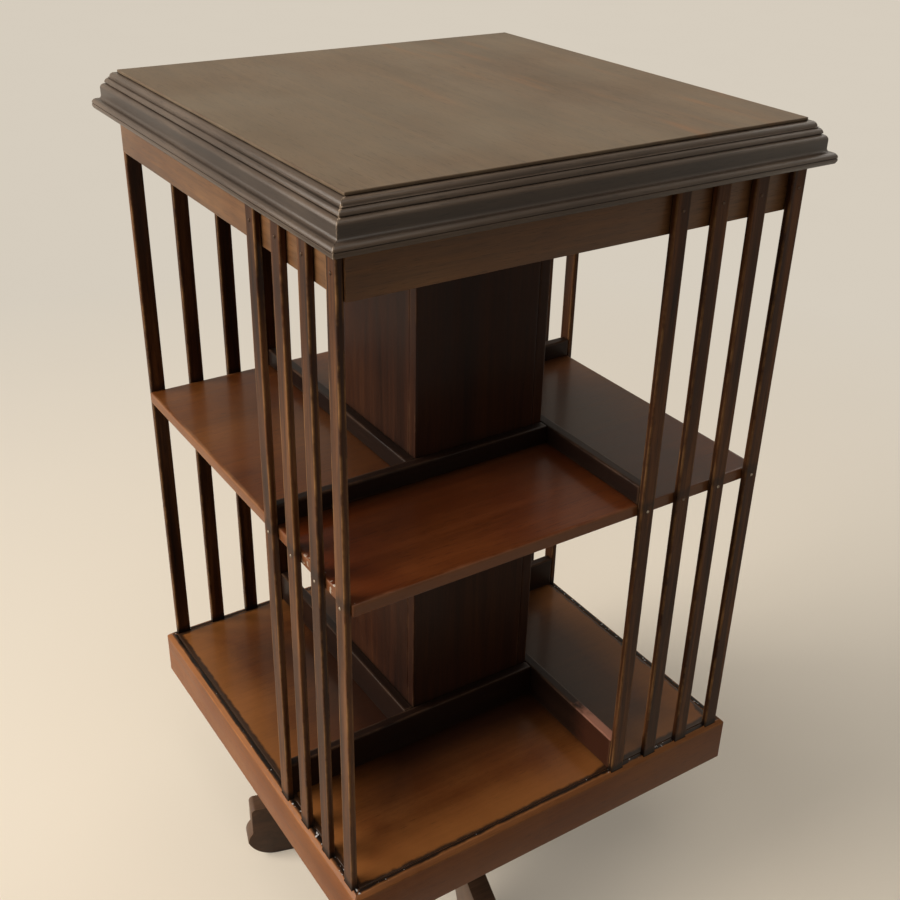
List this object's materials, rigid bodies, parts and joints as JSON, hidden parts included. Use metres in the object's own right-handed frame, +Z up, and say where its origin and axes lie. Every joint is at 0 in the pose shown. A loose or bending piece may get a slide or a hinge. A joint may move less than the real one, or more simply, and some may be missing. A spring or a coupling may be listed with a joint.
{
  "type": "revolving bookcase",
  "caption": "Square two-tier wooden bookcase with a slatted pinwheel of open bays, turning on a steel post above a low cross base.",
  "frame": {"origin": "on the floor, on the axis that the case turns about", "axes": "+Z up along the turning axis, -Y is the front face of the case, +X is to the right"},
  "size_m": [0.5, 0.5, 0.905],
  "materials": {
    "mahogany_top": "french polished, worn to a soft sheen",
    "mahogany_moulding": "french polished, dark",
    "mahogany_frieze": "french polished",
    "mahogany_slat": "french polished",
    "mahogany_column": "french polished",
    "mahogany_shelf": "french polished, glossy",
    "mahogany_stop": "french polished",
    "mahogany_plinth": "french polished",
    "mahogany_base": "stained and polished, dusty",
    "glue_block": "bare wood",
    "post_steel": "turned, greased",
    "flange_iron": "black japanned",
    "bush_brass": "turned",
    "pin_steel": "bright, a little tarnished",
    "screw_steel": "dull"
  },
  "bodies": {
    "base": {"bearer_lower": "mahogany_base", "bearer_upper": "mahogany_base", "hub_board": "mahogany_base", "hub_screws": "screw_steel", "post_flange": "flange_iron", "flange_screws": "screw_steel", "post": "post_steel"},
    "case": {"bottom_board": "mahogany_shelf", "plinth_blocks": "glue_block", "lower_bush": "bush_brass", "bush_screws": "screw_steel", "middle_shelf": "mahogany_shelf", "slat_pins": "pin_steel", "pivot_block": "glue_block", "pivot_cup": "bush_brass", "cup_screws": "screw_steel", "block_screws": "screw_steel", "top_panel": "mahogany_top", "frieze_blocks": "glue_block", "plinth_front": "mahogany_plinth", "column_front": "mahogany_column", "lower_stop_front": "mahogany_stop", "upper_stop_front": "mahogany_stop", "frieze_front": "mahogany_frieze", "moulding_front": "mahogany_moulding", "slat_front_1": "mahogany_slat", "slat_front_2": "mahogany_slat", "slat_front_3": "mahogany_slat", "slat_front_4": "mahogany_slat", "plinth_right": "mahogany_plinth", "column_right": "mahogany_column", "lower_stop_right": "mahogany_stop", "upper_stop_right": "mahogany_stop", "frieze_right": "mahogany_frieze", "moulding_right": "mahogany_moulding", "slat_right_1": "mahogany_slat", "slat_right_2": "mahogany_slat", "slat_right_3": "mahogany_slat", "slat_right_4": "mahogany_slat", "plinth_back": "mahogany_plinth", "column_back": "mahogany_column", "lower_stop_back": "mahogany_stop", "upper_stop_back": "mahogany_stop", "frieze_back": "mahogany_frieze", "moulding_back": "mahogany_moulding", "slat_back_1": "mahogany_slat", "slat_back_2": "mahogany_slat", "slat_back_3": "mahogany_slat", "slat_back_4": "mahogany_slat", "plinth_left": "mahogany_plinth", "column_left": "mahogany_column", "lower_stop_left": "mahogany_stop", "upper_stop_left": "mahogany_stop", "frieze_left": "mahogany_frieze", "moulding_left": "mahogany_moulding", "slat_left_1": "mahogany_slat", "slat_left_2": "mahogany_slat", "slat_left_3": "mahogany_slat", "slat_left_4": "mahogany_slat"}
  },
  "joints": [
    {"name": "case_spin", "type": "hinge", "parent": "base", "child": "case", "pos_m": [0, 0, 0.85], "axis": [0, 0, 1], "continuous": true}
  ]
}
